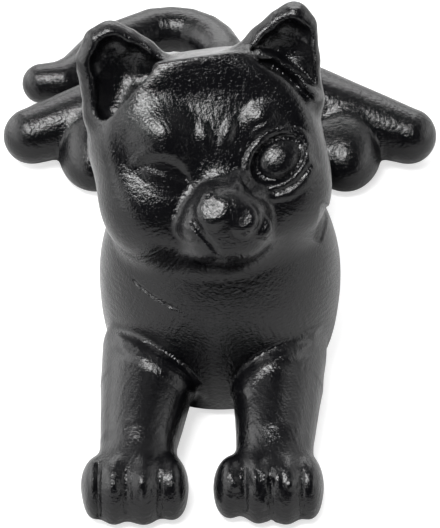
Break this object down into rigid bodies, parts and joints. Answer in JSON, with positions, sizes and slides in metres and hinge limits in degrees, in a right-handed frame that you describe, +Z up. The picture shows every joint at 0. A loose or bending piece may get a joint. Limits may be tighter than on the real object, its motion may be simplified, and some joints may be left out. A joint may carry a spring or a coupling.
{
  "type": "cast-iron cat doorstop",
  "caption": "Heavy cast doorstop in the form of a lying cat with raised head and curled tail, hollow underneath, on thin floor pads.",
  "frame": {"origin": "on the floor, under the middle of the whole length and width", "axes": "-Y is the way the cat looks, +X is to the right as one looks at its face, +Z is up"},
  "size_m": [0.138, 0.2373, 0.1096],
  "materials": {
    "black_enamel": "black satin enamel over as-cast iron, fine sand grain",
    "zinc_plated_steel": "zinc plated",
    "black_rubber": "matt"
  },
  "bodies": {
    "root": {"body_casting": "black_enamel", "head_casting": "black_enamel", "neck_screw": "zinc_plated_steel", "spring_washer": "zinc_plated_steel", "flat_washer": "zinc_plated_steel", "pad_front_left": "black_rubber", "pad_front_right": "black_rubber", "pad_hind_left": "black_rubber", "pad_hind_right": "black_rubber", "pad_tail": "black_rubber"}
  },
  "joints": []
}
